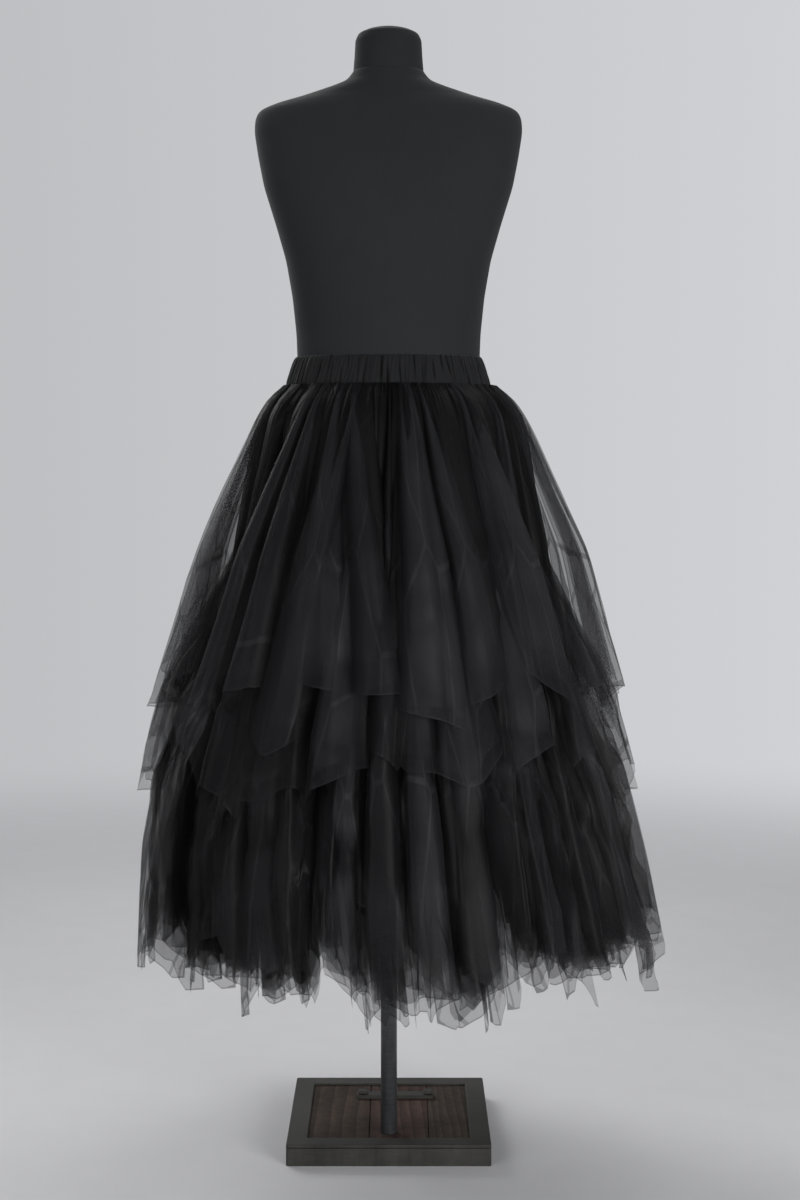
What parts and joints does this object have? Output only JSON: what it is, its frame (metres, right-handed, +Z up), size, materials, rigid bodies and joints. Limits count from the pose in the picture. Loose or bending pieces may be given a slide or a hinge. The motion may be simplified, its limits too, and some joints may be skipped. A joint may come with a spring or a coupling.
{
  "type": "tulle skirt on a limbless dress form with a stand",
  "caption": "Long full tulle skirt of loose raw-cut panels in tiers, gathered into an elastic waistband, on a limbless dress form with a pole and square base.",
  "frame": {"origin": "on the floor at the pole's axis, on the middle plank's flat underside", "axes": "+Z up along the pole, the skirt's front towards -Y, +X to the right as seen from the front"},
  "size_m": [0.7465, 0.7491, 1.6436],
  "materials": {
    "tulle": "fine black net, slightly lustrous",
    "band_cotton": "black woven casing, matt",
    "form_jersey": "charcoal jersey, matt",
    "dark_steel": "dark blackened steel, satin",
    "dark_wood": "dark stained plank, satin"
  },
  "bodies": {
    "root": {"waistband": "band_cotton", "form_torso": "form_jersey", "form_neck": "form_jersey", "stand_pole": "dark_steel", "base_rail_front": "dark_steel", "base_rail_right": "dark_steel", "base_rail_back": "dark_steel", "base_rail_left": "dark_steel", "base_tie_bar": "dark_steel", "base_bolt_left": "dark_steel", "base_bolt_right": "dark_steel", "base_plank_left": "dark_wood", "base_plank_middle": "dark_wood", "base_plank_right": "dark_wood", "lower_panel_01": "tulle", "lower_panel_02": "tulle", "lower_panel_03": "tulle", "lower_panel_04": "tulle", "lower_panel_05": "tulle", "lower_panel_06": "tulle", "lower_panel_07": "tulle", "lower_panel_08": "tulle", "lower_panel_09": "tulle", "lower_panel_10": "tulle", "lower_panel_11": "tulle", "lower_panel_12": "tulle", "middle_panel_01": "tulle", "middle_panel_02": "tulle", "middle_panel_03": "tulle", "middle_panel_04": "tulle", "middle_panel_05": "tulle", "middle_panel_06": "tulle", "middle_panel_07": "tulle", "middle_panel_08": "tulle", "middle_panel_09": "tulle", "middle_panel_10": "tulle", "middle_panel_11": "tulle", "middle_panel_12": "tulle", "upper_panel_01": "tulle", "upper_panel_02": "tulle", "upper_panel_03": "tulle", "upper_panel_04": "tulle", "upper_panel_05": "tulle", "upper_panel_06": "tulle", "upper_panel_07": "tulle", "upper_panel_08": "tulle", "upper_panel_09": "tulle", "upper_panel_10": "tulle", "upper_panel_11": "tulle", "upper_panel_12": "tulle"}
  },
  "joints": []
}
